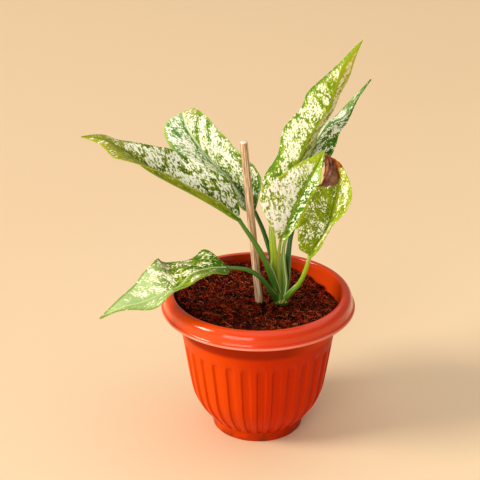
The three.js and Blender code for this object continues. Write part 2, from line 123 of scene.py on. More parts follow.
class Finish:
    """A procedural material that ends in one Principled shader."""

    def __init__(self, name, sockets):
        self.material = bpy.data.materials.new(name)
        self.material.use_nodes = True
        self.tree = self.material.node_tree
        self.shader = self.tree.nodes["Principled BSDF"]
        self.put(sockets)

    def put(self, sockets, node=None):
        """Sets or links sockets of a node, or of the shader where no node is given."""
        node = node or self.shader
        for name, value in sockets.items():
            socket = node.inputs[name] if isinstance(name, int) else self.shown(node.inputs, name)
            if isinstance(value, Value):
                self.tree.links.new(value.socket, socket)
            else:
                socket.default_value = value

    @staticmethod
    def shown(sockets, name):
        return next(s for s in sockets if s.name == name and s.enabled)

    def node(self, kind, settings=None, sockets=None):
        """Adds a node and gives its first output in use."""
        made = self.tree.nodes.new(kind)
        for name, value in (settings or {}).items():
            setattr(made, name, value)
        self.put(sockets or {}, made)
        return Value(self, next(s for s in made.outputs if s.enabled))

    def spot(self):
        """The place on the piece, in metres."""
        return self.node("ShaderNodeTexCoord")["Object"]

    def mapped(self, name):
        """What the piece's UV map of that name holds."""
        return self.node("ShaderNodeUVMap", {"uv_map": name})

    def axes(self, place):
        """A node that gives a place's X, Y and Z, each as an output."""
        return self.node("ShaderNodeSeparateXYZ", {}, {0: place})

    def mix(self, share, first, second):
        sockets = {"Factor": share, "A": first, "B": second}
        return self.node("ShaderNodeMix", {"data_type": "RGBA"}, sockets)

    def layered(self, colour, *layers):
        """A colour with others laid over it in turn, each given as its share and its colour."""
        for share, over in layers:
            colour = self.mix(share, colour, over)
        return colour

    def scaled(self, place, factors):
        return self.node("ShaderNodeVectorMath", {"operation": "MULTIPLY"}, {0: place, 1: factors})

    def shifted(self, place, by):
        return self.node("ShaderNodeVectorMath", {"operation": "ADD"}, {0: place, 1: by})

    def clouds(self, place, size, detail=3.0, roughness=0.55):
        """Soft noise of 0 to 1, with lumps of about that size in metres."""
        sockets = {"Vector": place, "Scale": 1 / size, "Detail": detail, "Roughness": roughness}
        return self.node("ShaderNodeTexNoise", {}, sockets)

    def bump(self, height, distance, strength=1.0):
        sockets = {"Height": height, "Distance": distance, "Strength": strength}
        self.put({"Normal": self.node("ShaderNodeBump", {}, sockets)})


def added(primitive, **how):
    """Adds a mesh primitive with nothing else selected and gives its object."""
    bpy.ops.object.select_all(action="DESELECT")
    primitive(**how)
    return bpy.context.object


bpy.ops.object.camera_add(location=CAMERA_AT, rotation=(pi / 2 - CAMERA_LOOKS_DOWN, 0, 0))
camera = bpy.context.object
camera.data.lens = CAMERA_LENS
bpy.context.scene.camera = camera
bpy.context.scene.view_settings.view_transform = "Standard"

for name, light in LIGHTS.items():
    aim = LIGHTS_AIM_AT - Vector(light["at"])
    turn = aim.to_track_quat("-Z", "Y").to_euler()
    bpy.ops.object.light_add(type="AREA", location=light["at"], rotation=turn)
    lamp = bpy.context.object
    lamp.name = name
    lamp.data.size = light["size"]
    lamp.data.energy = light["power"]
    lamp.data.color = paint(light["colour"])[:3]

world = bpy.context.scene.world or bpy.data.worlds.new("daylight")
bpy.context.scene.world = world
world.use_nodes = True
world.node_tree.nodes["Background"].inputs["Color"].default_value = paint(SKY_COLOUR)
world.node_tree.nodes["Background"].inputs["Strength"].default_value = SKY_STRENGTH

table_finish = Finish("table_top", {"Roughness": 0.75, "Specular IOR Level": 0.25})
mottle = table_finish.clouds(table_finish.spot(), TABLE_MOTTLE, 2)
axes = table_finish.axes(table_finish.spot())
# The table is painted darker towards the left and the back and paler towards the right and the front:
# painted shade and painted light that even out the fall of the window light.
away = axes["Y"] - 0.8 * axes["X"] + 0.4 * (mottle - 0.5)
pale, painted_shade = (paint(code) for code in TABLE_COLOURS)
table_finish.put({"Base Color": table_finish.mix(away.rise(-0.1, 0.9), pale, painted_shade)})
table = added(bpy.ops.mesh.primitive_plane_add, size=TABLE_WIDTH, location=(0, 0, -TABLE_DROP))
table.name = "table_top"
bpy.ops.object.transform_apply()
table.data.materials.append(table_finish.material)


# ------------------------ pot
# Glossy orange-red plastic, moulded in one piece: a round foot, a body with thirty arched
# flutes pressed into it and a rolled lip that ends in a thin bead. Six drain holes.

SHOULDER_HEIGHT = 0.1012
FLOOR_THICKNESS = 0.0035
THINNEST_WALL = 0.0012
OUTER_FACE = 0.0008
POT_COLUMNS = 540
FLUTES = 30
FLUTE_DEPTH = 0.0024
FLUTE_SHARE = 0.6
FLUTE_EDGE = 0.0010
FLUTE_FRONT = radians(2.1) - pi / 2
FLUTE_FOOT = 0.0112
FLUTE_FOOT_RISE = 0.6
FLUTE_FOOT_FLATNESS = 1.6
FLUTE_HOLLOW = 0.1
DRAIN_HOLES = 6
DRAIN_RADIUS = 0.004
DRAIN_CIRCLE = 0.030
DRILL_LENGTH = 0.02
# The wall's section in radius and height, up the outside and, for the last three, up the inside.
# A pair is a point. A longer row is an arc: its centre, how far it reaches across and up, the
# degrees it runs from and to, and its steps. The sides and the inner neck are smooth curves.
FOOT = [
    (0, 0), (0.020, 0), (0.040, 0), ((0.0458, 0.0009), 0.0011, 0.0009, -90, 0, 4),
    (0.047, 0.0082), ((0.0478, 0.0088), 0.0008, 0.0012, 180, 100, 3),
]
BODY_SIDE = [
    (0.0482, 0.0103), (0.0516, 0.0145), (0.0558, 0.0198), (0.0629, 0.0305), (0.0684, 0.044),
    (0.0719, 0.062), (0.0752, 0.084), (0.0777, 0.1012),
]
NECK_TOP = (0.0849, 0.1440)
LIP = [
    (0.0852, 0.1445), (0.0925, 0.1445), ((0.0925, 0.1405), 0.0040, 0.0040, 80, 0, 4),
    (0.0962, 0.1371), ((0.0974, 0.1367), 0.0008, 0.0007, 200, 270, 2),
    ((0.0986, 0.1371), 0.0010, 0.0011, -85, 60, 7), (0.0981, 0.1388), (0.0976, 0.1393),
    (0.0973, 0.1398), (0.0970, 0.1405), ((0.0885, 0.1440), 0.0080, 0.0090, 0, 96, 20),
    ((0.0878, 0.1509), 0.0018, 0.0020, 100, 172, 6), (0.0859, 0.1505),
]
INNER_SIDE = [(0.044, 0.0035), (0.048, 0.015), (0.060, 0.034), (0.067, 0.058), (0.0735, 0.1012)]
INNER_NECK = [(0.0808, 0.1300), (0.0835, 0.1400), (0.0853, 0.1492)]
INNER_BRIM = (0.0842, 0.150)
# Where the colour changes: the radius of the mouth, the heights from which the bare wall shows
# inside and the lip is polished, and the lower, upper and inner bounds of the bead's painted highlight.
MOUTH_RADIUS = 0.0872
BARE_WALL = (0.112, 0.118)
POLISH = (0.134, 0.1375)
BEAD_FOOT = (0.1360, 0.1366)
BEAD_TOP = (0.1387, 0.1381)
BEAD_EDGE = (0.0982, 0.0989)
# The lighter tone for the side towards the window, the darker tone at the foot, both tones of the inside
# wall and the pale tone of the bead are painted light and shade.
POT_COLOURS = {
    "body": "c02b00", "sunlit": "d64800", "dust": "7c2a0c", "inside": "962200",
    "inside_lit": "d64008", "lip": "f04404", "scuff": "f6a488",
}


def through(rows, u):
    """Point on the smooth curve through evenly spaced numbers or vectors, u from 0 to 1."""
    last = len(rows) - 1
    at = min(max(u, 0.0), 1.0) * last
    i = min(int(at), last - 1)
    t = at - i
    b, c = rows[i], rows[i + 1]
    a = rows[i - 1] if i > 0 else 2 * b - c
    d = rows[i + 2] if i + 2 <= last else 2 * c - b
    bend = (2 * a - 5 * b + 4 * c - d) * t * t + (3 * b - a - 3 * c + d) * t ** 3
    return 0.5 * (2 * b + (c - a) * t + bend)


def smooth(t):
    """0 below 0, 1 above 1 and smooth between."""
    t = min(max(t, 0.0), 1.0)
    return t * t * (3 - 2 * t)


def arc(centre, across, up, start, end, steps):
    """Points on an elliptic arc, from start to end in degrees, in the plane of radius and height."""
    turns = [radians(start + (end - start) * k / steps) for k in range(steps + 1)]
    return [(centre[0] + across * cos(a), centre[1] + up * sin(a)) for a in turns]


def curved(knots, steps):
    """Points along the smooth curve through knots of radius and height."""
    rows = [Vector(knot) for knot in knots]
    return [tuple(through(rows, k / steps)) for k in range(steps + 1)]


def between(start, end, steps):
    """Points at even steps from one point to another, without those two."""
    (r0, z0), (r1, z1) = start, end
    return [(r0 + (r1 - r0) * k / steps, z0 + (z1 - z0) * k / steps) for k in range(1, steps)]


def traced(rows):
    """Points of a section that is written as points and arcs."""
    return [point for row in rows for point in (arc(*row) if len(row) > 2 else [row])]


def turn_outward():
    """Turns all faces of the mesh in edit mode outward, and leaves edit mode."""
    bpy.ops.mesh.select_all(action="SELECT")
    bpy.ops.mesh.normals_make_consistent(inside=False)
    bpy.ops.object.mode_set(mode="OBJECT")


def pot_profile():
    """Radius and height round the wall's section: floor, outside, lip, inside and floor."""
    side = curved(BODY_SIDE, 62) + between(BODY_SIDE[-1], NECK_TOP, 6) + [NECK_TOP]
    neck = curved(INNER_NECK[::-1], 6) + between(INNER_NECK[0], INNER_SIDE[-1], 6)
    inside = curved(INNER_SIDE, 16)[::-1]
    return traced(FOOT) + side + traced(LIP) + neck + inside + [(0, FLOOR_THICKNESS)]


def inner_radius(height):
    """Radius of the pot's inside wall at a height."""
    sides = [*INNER_SIDE, INNER_BRIM]
    for (r0, z0), (r1, z1) in zip(sides, sides[1:]):
        if height <= z1:
            return r0 + (r1 - r0) * max(0.0, height - z0) / (z1 - z0)
    return INNER_BRIM[0]


def flute_depth(angle, radius, height):
    """How deep the wall is pressed in there. A flute is arched at both ends, flatter at its
    foot, and its floor is a little hollow."""
    pitch = 2 * pi / FLUTES
    offset = abs((angle - FLUTE_FRONT + pitch / 2) % pitch - pitch / 2) * radius
    half = FLUTE_SHARE * pitch / 2 * radius
    arch_at = SHOULDER_HEIGHT - half
    above = max(0.0, height - arch_at)
    below = FLUTE_FOOT_FLATNESS * max(0.0, FLUTE_FOOT + FLUTE_FOOT_RISE * half - height)
    inside = half - hypot(offset, above, below)
    edge = (1 - FLUTE_HOLLOW) * smooth(inside / FLUTE_EDGE)
    return FLUTE_DEPTH * (edge + FLUTE_HOLLOW * smooth(inside / half))


pot = added(bpy.ops.mesh.primitive_plane_add, size=0.001)
pot.name = "fluted_pot"
profile = pot_profile()
bpy.ops.object.mode_set(mode="EDIT")
bpy.ops.mesh.merge(type="CENTER")
for (r0, z0), (r1, z1) in zip(profile, profile[1:]):
    bpy.ops.mesh.extrude_region_move(TRANSFORM_OT_translate={"value": (r1 - r0, 0, z1 - z0)})
bpy.ops.mesh.select_all(action="SELECT")
bpy.ops.mesh.spin(steps=POT_COLUMNS, angle=2 * pi, center=(0, 0, 0), axis=(0, 0, 1))
bpy.ops.mesh.select_all(action="SELECT")
bpy.ops.mesh.remove_doubles(threshold=0.00001)
turn_outward()

# Only the outer face is pressed in. It lies farther than OUTER_FACE from the wall inside.
for vertex in pot.data.vertices:
    x, y, z = vertex.co
    radius = hypot(x, y)
    wall = radius - inner_radius(z)
    if BODY_SIDE[0][1] < z < SHOULDER_HEIGHT and wall > OUTER_FACE:
        spare = max(0.0, wall - THINNEST_WALL)
        inward = min(flute_depth(atan2(y, x), radius, z), spare) / radius
        vertex.co = Vector((x * (1 - inward), y * (1 - inward), z))

drills = []
for k in range(DRAIN_HOLES):
    angle = 2 * pi * k / DRAIN_HOLES
    spot = (DRAIN_CIRCLE * cos(angle), DRAIN_CIRCLE * sin(angle), 0)
    size = {"vertices": 32, "radius": DRAIN_RADIUS, "depth": DRILL_LENGTH}
    drills.append(added(bpy.ops.mesh.primitive_cylinder_add, location=spot, **size))
for drill in drills:
    drill.select_set(True)
bpy.ops.object.join()
drill = bpy.context.object
bpy.context.view_layer.objects.active = pot
holes = pot.modifiers.new("drain_holes", "BOOLEAN")
holes.operation = "DIFFERENCE"
holes.solver = "MANIFOLD"
holes.object = drill
bpy.ops.object.modifier_apply(modifier=holes.name)
bpy.data.objects.remove(drill)

pot.select_set(True)
bpy.context.view_layer.objects.active = pot
bpy.ops.object.shade_smooth_by_angle(angle=radians(50))

gloss = {"Specular IOR Level": 0.05, "Coat IOR": 1.48, "Coat Roughness": 0.12}
plastic = Finish("orange_plastic", gloss)
tones = paints(POT_COLOURS)
spot = plastic.spot()
axes = plastic.axes(spot)
height = axes["Z"]
from_axis = (axes["X"] * axes["X"] + axes["Y"] * axes["Y"]) ** 0.5
drift = plastic.clouds(spot, 0.06, 2)
wear = plastic.clouds(plastic.scaled(spot, (1, 1, 0.25)), 0.004, 5, 0.7)
# Towards the foot the pot is painted darker in patches: painted shade.
dust = plastic.clouds(spot, 0.012, 4) * height.rise(0.03, 0.0)
# The side that faces the window is painted a lighter orange: painted light.
sunlit = (axes["X"] + 0.03 * (drift - 0.5)).rise(0.02, -0.07)
bare_wall = from_axis.rise(MOUTH_RADIUS, MOUTH_RADIUS - 0.001) * height.rise(*BARE_WALL)
polished = height.rise(*POLISH)
rolled_lip = polished * from_axis.rise(MOUTH_RADIUS, MOUTH_RADIUS + 0.001)
# The bead's outer face is painted a pale pink: a painted highlight.
bead = height.rise(*BEAD_FOOT) * height.rise(*BEAD_TOP) * from_axis.rise(*BEAD_EDGE)
# The bare wall inside is painted dark red as shade and lighter towards +X as light: painted shade and
# painted light.
inside_painted_shade_and_light = plastic.mix(axes["X"].rise(0.025, 0.070), tones["inside"], tones["inside_lit"])
colour = plastic.layered(
    tones["body"], (sunlit, tones["sunlit"]), (dust.rise(0.2, 0.8) * 0.9, tones["dust"]),
    (bare_wall, inside_painted_shade_and_light), (rolled_lip * 0.4, tones["lip"]), (bead * 0.5, tones["scuff"]),
)
roughness = 0.34 + wear.rise(0.5, 0.8) * 0.15
plastic.put({"Base Color": colour, "Roughness": roughness, "Coat Weight": polished})
plastic.bump(plastic.clouds(spot, 0.0018, 2), 0.00004, 0.2)
pot.data.materials.clear()
pot.data.materials.append(plastic.material)
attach(pot, "root")
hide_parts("pot")


# ------------------------ coco peat
# The pot is filled with damp, red-brown coco peat to about a centimetre under its lip. It is
# one crumbly body with a rough top, with loose crumbs and coir hairs lying over it.

SOIL_LEVEL = 0.1435
SOIL_SLOPE = -0.075
SOIL_LUMPS = 0.00055
SOIL_RADIUS = 0.084
SOIL_GRID = 210
SOIL_CLEARANCE = 0.00045
SOIL_OVER_FLOOR = 0.0003
GRAIN_AT_WALL = 0.3
HOLLOW_AT = (0.078, 0.034)
HOLLOW_DEPTH = 0.005
HOLLOW_SPREAD = 0.0009
CRUMBS = 5200
CRUMB_REACH = 0.081
HAIRS = 1700
HAIR_REACH = 0.079
HAIR_STEPS = 6
PEAT_COLOURS = ("040000", "3c0502", "9a1c08", "e66a34")
HAIR_COLOURS = ("400803", "f47638")


def soil_height(x, y):
    """The peat's top: it slopes down to +X, with low lumps and one hollow by the wall."""
    lumps = sin(210 * x + 1.3) * cos(170 * y) + sin(110 * x - 290 * y)
    lumps += 0.6 * cos(430 * x + 370 * y)
    from_hollow = (x - HOLLOW_AT[0]) ** 2 + (y - HOLLOW_AT[1]) ** 2
    hollow = HOLLOW_DEPTH * exp(-from_hollow / HOLLOW_SPREAD)
    return SOIL_LEVEL + SOIL_SLOPE * x - hollow + SOIL_LUMPS * lumps


def disc_point(x, y):
    """A square of -1 to 1 pressed out into a disc, so that its rows turn into rings."""
    if x == 0 and y == 0:
        return 0.0, 0.0
    if abs(x) > abs(y):
        return x * cos(pi / 4 * y / x), x * sin(pi / 4 * y / x)
    return y * sin(pi / 4 * x / y), y * cos(pi / 4 * x / y)


def peat_grain(x, y):
    """Relief of the peat's surface over its gentle lumps: clods, crumbs and grit."""
    clods = 0.0016 * noise.noise(Vector((x, y, 0.3)) * 105)
    crumbs = 0.0017 * abs(noise.noise(Vector((x, y, 1.7)) * 310))
    grit = 0.0006 * noise.noise(Vector((x, y, 4.1)) * 900)
    return clods + crumbs + grit


def grid(columns, rows, size=1):
    """A flat square grid with so many faces each way."""
    return added(bpy.ops.mesh.primitive_grid_add, x_subdivisions=columns, y_subdivisions=rows, size=size)


soil = grid(SOIL_GRID, SOIL_GRID, 2)
soil.name = "peat_body"
top_count = len(soil.data.vertices)
for vertex in soil.data.vertices:
    edge = max(abs(vertex.co.x), abs(vertex.co.y)) > 0.9999
    dx, dy = disc_point(vertex.co.x, vertex.co.y)
    reach = inner_radius(soil_height(SOIL_RADIUS * dx, SOIL_RADIUS * dy)) - SOIL_CLEARANCE
    x, y = dx * reach, dy * reach
    z = soil_height(x, y) + peat_grain(x, y) * (GRAIN_AT_WALL if edge else 1)
    vertex.co = Vector((x, y, z))
bpy.ops.object.mode_set(mode="EDIT")
bpy.ops.mesh.select_mode(type="VERT")
bpy.ops.mesh.select_all(action="SELECT")
bpy.ops.mesh.region_to_loop()
last_radius, last_height = inner_radius(SOIL_LEVEL), SOIL_LEVEL
for r, z in [*reversed(INNER_SIDE[1:]), (INNER_SIDE[0][0], FLOOR_THICKNESS + SOIL_OVER_FLOOR)]:
    bpy.ops.mesh.extrude_region_move(TRANSFORM_OT_translate={"value": (0, 0, z - last_height)})
    share = (r - SOIL_CLEARANCE) / (last_radius - SOIL_CLEARANCE)
    bpy.ops.transform.resize(value=(share, share, 1 if last_height < SOIL_LEVEL else 0))
    last_radius, last_height = r, z
bpy.ops.mesh.edge_face_add()
turn_outward()
# The rings under the top are set to the wall's own radius, so that none of them cuts into it.
for vertex in soil.data.vertices[top_count:]:
    x, y, z = vertex.co
    share = (inner_radius(z) - SOIL_CLEARANCE) / hypot(x, y)
    vertex.co = Vector((x * share, y * share, z))
bpy.ops.object.shade_smooth_by_angle(angle=radians(60))


def peat_finish(name, paler):
    """Damp peat: near black where its grain is low, as painted shade in the gaps, with red-brown crumbs
    and a few dry, paler flecks.
    """
    peat = Finish(name, {"Specular IOR Level": 0.08})
    spot = peat.spot()
    clods = peat.clouds(spot, 0.009, 3)
    grains = peat.clouds(spot, 0.0013, 4, 0.65) + paler
    flecks = peat.clouds(spot, 0.0011, 2)
    dark, damp, red, dry = (paint(code) for code in PEAT_COLOURS)
    # Where the grain is low the peat is painted near black: painted shade in the gaps.
    raised = grains + 0.8 * clods
    colour = peat.layered(
        dark, (raised.rise(0.88, 0.96), damp), (raised.rise(0.99, 1.06), red),
        (flecks.rise(0.62, 0.72) * 0.8, dry),
    )
    peat.put({"Base Color": colour, "Roughness": 0.75 + flecks * 0.2})
    peat.bump(grains, 0.0013, 1.0)
    return peat


soil.data.materials.append(peat_finish("damp_peat", 0.0).material)
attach(soil, "root")
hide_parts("soil")


def strewn(name, count, chance, shape_at):
    """One mesh of many small shapes: shape_at(chance) gives points and faces of each."""
    points, faces = [], []
    for _ in range(count):
        some, sides = shape_at(chance)
        faces.extend([tuple(len(points) + i for i in side) for side in sides])
        points.extend(some)
    mesh = bpy.data.meshes.new(name)
    mesh.from_pydata(points, [], faces)
    mesh.update()
    piece = bpy.data.objects.new(name, mesh)
    bpy.context.scene.collection.objects.link(piece)
    return piece


def peat_spot(chance, reach):
    """A random place on the peat inside that radius."""
    turn = chance.uniform(0, 2 * pi)
    radius = reach * sqrt(chance.random())
    x, y = radius * cos(turn), radius * sin(turn)
    return Vector((x, y, soil_height(x, y) + peat_grain(x, y)))


pebble = added(bpy.ops.mesh.primitive_ico_sphere_add, subdivisions=1, radius=1)
PEBBLE_POINTS = [vertex.co.copy() for vertex in pebble.data.vertices]
PEBBLE_FACES = [tuple(side.vertices) for side in pebble.data.polygons]
bpy.data.objects.remove(pebble)


def crumb(chance):
    """A crumb of peat: a knobbly pebble, most often a small one."""
    centre = peat_spot(chance, CRUMB_REACH)
    size = 0.0004 + 0.0015 * chance.random() ** 2.6
    turn = Vector([chance.uniform(-1, 1) for _ in range(3)]).to_track_quat("Z", "Y")
    stretch = Vector((1, chance.uniform(0.6, 1.0), chance.uniform(0.5, 0.9)))
    knobs = [p * stretch * size * chance.uniform(0.75, 1.2) for p in PEBBLE_POINTS]
    return [centre + turn @ p + Vector((0, 0, 0.3 * size)) for p in knobs], PEBBLE_FACES


def hair(chance):
    """A coir hair: a thin three-sided strand that curls over the crumbs."""
    place = peat_spot(chance, HAIR_REACH)
    thick = chance.uniform(0.00008, 0.00021)
    length = chance.uniform(0.002, 0.010)
    turn = chance.uniform(0, 2 * pi)
    curl = chance.uniform(-0.45, 0.45)
    lift = chance.uniform(0.0002, 0.0016)
    points = []
    for k in range(HAIR_STEPS + 1):
        side = Vector((-sin(turn), cos(turn), 0))
        thin = thick * (1 - 0.6 * abs(2 * k / HAIR_STEPS - 1))
        height = lift * sin(pi * k / HAIR_STEPS) + 0.0003
        centre = place + Vector((0, 0, height))
        points += [centre + side * thin, centre - side * thin, centre + Vector((0, 0, 1.4 * thin))]
        step = Vector((cos(turn), sin(turn), 0)) * (length / HAIR_STEPS)
        place = place + step
        place.z = soil_height(place.x, place.y) + peat_grain(place.x, place.y)
        turn += curl
    top = 3 * HAIR_STEPS
    sides = [(k, a, b) for k in range(0, top, 3) for a, b in ((0, 2), (2, 1), (1, 0))]
    rings = [(k + a, k + b, k + 3 + b, k + 3 + a) for k, a, b in sides]
    return points, [(0, 1, 2), *rings, (top + 2, top + 1, top)]


crumbs = strewn("peat_crumbs", CRUMBS, random.Random(11), crumb)
crumbs.data.materials.append(peat_finish("loose_crumbs", 0.06).material)
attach(crumbs, "root")

coir = Finish("coir_hair", {"Specular IOR Level": 0.15})
shade = coir.clouds(coir.spot(), 0.006, 2)
dark, pale = (paint(code) for code in HAIR_COLOURS)
coir.put({"Base Color": coir.mix(shade.rise(0.35, 0.68), dark, pale), "Roughness": 0.7 - shade * 0.2})
coir.bump(coir.clouds(coir.spot(), 0.0008, 2), 0.0001, 0.5)
hairs = strewn("coir_hairs", HAIRS, random.Random(23), hair)
hairs.data.materials.append(coir.material)
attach(hairs, "root")


# ------------------------ bamboo stake
# A round of dry split bamboo, 8 mm thick, pushed slantwise into the peat beside the plant.
# Its fibres run along it in brown streaks, and its sawn upper end is pale.

STAKE_RADIUS = 0.004
STAKE_FOOT = Vector((0.0065, -0.007, 0.085))
STAKE_TOP = Vector((-0.015, -0.010, 0.319))
STAKE_COLUMNS = 40
STAKE_ROWS = 333
STAKE_TAPER = 0.05
STAKE_WORN = 0.003
# How far the stake's skin reaches round it and along it.
STAKE_SKIN = (0.025, 0.235)
BAMBOO_COLOURS = {
    "brown": "9c7450", "straw": "f2d4b0", "patch": "c79d72", "fibre": "6e4c30",
    "sawn": "f3e6d0", "wet": "5a2c18",
}


def rolled(name, around, along, place):
    """A grid rolled into a closed tube. place gives the point for its turn and its length, each
    0 to 1. The map called skin keeps both for the material."""
    piece = grid(around, along)
    piece.name = name
    piece.data.uv_layers[0].name = "skin"
    for vertex in piece.data.vertices:
        vertex.co = place(round(vertex.co.x + 0.5, 5), round(vertex.co.y + 0.5, 5))
    bpy.ops.object.mode_set(mode="EDIT")
    bpy.ops.mesh.select_all(action="SELECT")
    bpy.ops.mesh.remove_doubles(threshold=0.000002)
    bpy.ops.mesh.fill_holes(sides=0)
    turn_outward()
    bpy.ops.object.shade_smooth_by_angle(angle=radians(60))
    return piece


def skin_place(finish, girth, length):
    """The skin map in metres: round the piece and along it."""
    return finish.scaled(finish.mapped("skin"), (girth, length, 0))


stake_axis = STAKE_TOP - STAKE_FOOT
stake_side = stake_axis.cross(Vector((0, 1, 0))).normalized()
stake_back = stake_axis.cross(stake_side).normalized()


def stake_point(turn, u):
    """Ridges of fibre run down the sides, and the cut edge at the top is worn round."""
    angle = 2 * pi * turn
    ring = Vector((cos(angle), sin(angle), 0))
    ridges = 0.00013 * noise.noise(ring * 3.1)
    ridges += 0.00006 * noise.noise(ring * 9 + Vector((0, 0, u * 2)))
    sway = 0.00022 * noise.noise(Vector((0, 0, u * 7)))
    radius = STAKE_RADIUS * (1 - STAKE_TAPER * u) + ridges
    rim = max(0.0, u - 1 + STAKE_WORN) / STAKE_WORN
    radius *= 1 - 0.12 * rim * rim
    centre = STAKE_FOOT + stake_axis * u + (stake_side + stake_back) * sway
    return centre + (stake_side * ring.x + stake_back * ring.y) * radius


stake = rolled("bamboo_stake", STAKE_COLUMNS, STAKE_ROWS, stake_point)
bamboo = Finish("dry_bamboo", {"Specular IOR Level": 0.35})
tones = paints(BAMBOO_COLOURS)
grain = skin_place(bamboo, *STAKE_SKIN)
streaks = bamboo.clouds(bamboo.scaled(grain, (1, 0.035, 1)), 0.0011, 4, 0.65)
fibres = bamboo.clouds(bamboo.scaled(grain, (1, 0.02, 1)), 0.00035, 2)
patches = bamboo.clouds(bamboo.scaled(grain, (1, 0.25, 1)), 0.007, 3)
up = bamboo.axes(bamboo.mapped("skin"))["Y"]
colour = bamboo.layered(
    tones["brown"], (streaks.rise(0.40, 0.60), tones["straw"]),
    (patches.rise(0.5, 0.72) * 0.55, tones["patch"]),
    (fibres.rise(0.52, 0.75) * 0.45, tones["fibre"]),
    (up.rise(0.9955, 0.9985) * 0.85, tones["sawn"]), (up.rise(0.265, 0.24) * 0.6, tones["wet"]),
)
bamboo.put({"Base Color": colour, "Roughness": 0.55 + patches * 0.2})
bamboo.bump(streaks + 0.5 * fibres, 0.0002, 0.8)
stake.data.materials.append(bamboo.material)
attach(stake, "root")
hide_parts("stake")


# ------------------------ crown and leaf stalks
# A short fleshy stem stands in the peat, ringed by old leaf scars. The stalks spring from it,
# each with pale sheath edges low down and a shallow channel along its inner side.

CROWN_AT = Vector((0.023, -0.010, 0))
CROWN_ROOT = 0.112
CROWN_TOP = 0.152
CROWN_RADIUS = 0.0073
CROWN_COLUMNS = 64
CROWN_ROWS = 60
CROWN_COLOURS = {"dark": "1f4a0c", "green": "3f7416", "scar": "c6cc50", "foot": "2c1a0c"}
STALK_COLUMNS = 56
STALK_ROWS = 120
PATH_STEPS = 300
SHEATH_WING = 0.0011
STALK_FOOT_COLOUR = "c2cc62"
MM = 0.001
# In millimetres: path from the crown to the blade, and radius at foot and top. Then the colours
# of the lower and upper part and of the sheath's edges, and the share that is sheathed.
STALKS = {
    "petiole_a": {
        "path": [(19, -13, 149), (14, -17, 158), (8, -20, 170), (1.5, -23, 179), (-8.5, -25, 187),
                 (-19, -26, 190), (-31.8, -26, 191)],
        "radius": (3.8, 1.9), "colours": ("244e0c", "3f7012", "9fb56a"), "sheath": 0.30,
    },
    "petiole_b": {
        "path": [(19.5, -13, 150), (17.5, -15, 162), (14, -17, 176), (9, -19, 190), (3, -20.5, 204),
                 (-4.5, -22, 218), (-12.5, -23, 231), (-19.8, -24, 242.8)],
        "radius": (5, 2.1), "colours": ("27560c", "457a10", "c3d6a0"), "sheath": 0.48,
    },
    "petiole_c": {
        "path": [(19, -8, 149), (16, -5, 172), (13.5, -1, 190), (10, 5, 201), (5, 10, 215),
                 (0.5, 13, 225), (-3.8, 16, 233.8)],
        "radius": (3.6, 2), "colours": ("245210", "2f6210", "7fa05a"), "sheath": 0.4,
    },
    "petiole_d": {
        "path": [(20.5, -10, 149), (17.5, -9, 164), (16, -8, 181), (15.5, -7, 196), (14, -5, 211),
                 (14, -2, 224), (19, 2, 238.7)],
        "radius": (4.8, 3), "colours": ("6a9410", "aac81c", "dbe58a"), "sheath": 0.5,
    },
    "petiole_e": {
        "path": [(26, -7, 149), (29.5, -5, 163), (30, -2, 178), (30.5, 1, 192), (32, 6, 205),
                 (34.9, 13, 214.8)],
        "radius": (4.2, 2.2), "colours": ("205010", "2c6412", "86a862"), "sheath": 0.5,
    },
    "petiole_f": {
        "path": [(23, -14, 150), (21.5, -15, 166), (20.5, -16, 181), (20, -16.5, 195),
                 (20.8, -16.5, 207), (21.9, -16, 215.7)],
        "radius": (3.2, 1.5), "colours": ("4f7a14", "8a9420", "8a6a38"), "sheath": 0.55,
    },
    "petiole_g": {
        "path": [(27, -13, 150), (33, -17, 159), (39, -19, 167), (43.5, -21, 176), (46.5, -22.5, 185),
                 (49, -24, 195), (51, -24, 203.7)],
        "radius": (3.8, 2), "colours": ("4f8410", "94b420", "d3dd96"), "sheath": 0.42,
    },
    "young_shoot": {
        "path": [(26, -12, 150), (27.5, -13, 166), (26, -12, 181), (25, -11, 194), (25.5, -10, 207),
                 (29, -8, 220), (30, -7, 232)],
        "radius": (4.2, 1), "colours": ("4f8a24", "90b44c", "e4ecc4"), "sheath": 0.62,
    },
}


def measured(path):
    """Points along a path at even steps of its length, as a function of u from 0 to 1."""
    rows = [Vector(p) * MM for p in path]
    fine = [through(rows, k / PATH_STEPS) for k in range(PATH_STEPS + 1)]
    travelled = [0.0]
    for a, b in zip(fine, fine[1:]):
        travelled.append(travelled[-1] + (b - a).length)

    def at(u):
        goal = min(max(u, 0.0), 1.0) * travelled[-1]
        k = next((i for i, t in enumerate(travelled) if t >= goal), PATH_STEPS) or 1
        share = (goal - travelled[k - 1]) / (travelled[k] - travelled[k - 1])
        return fine[k - 1].lerp(fine[k], share)

    return at, travelled[-1]


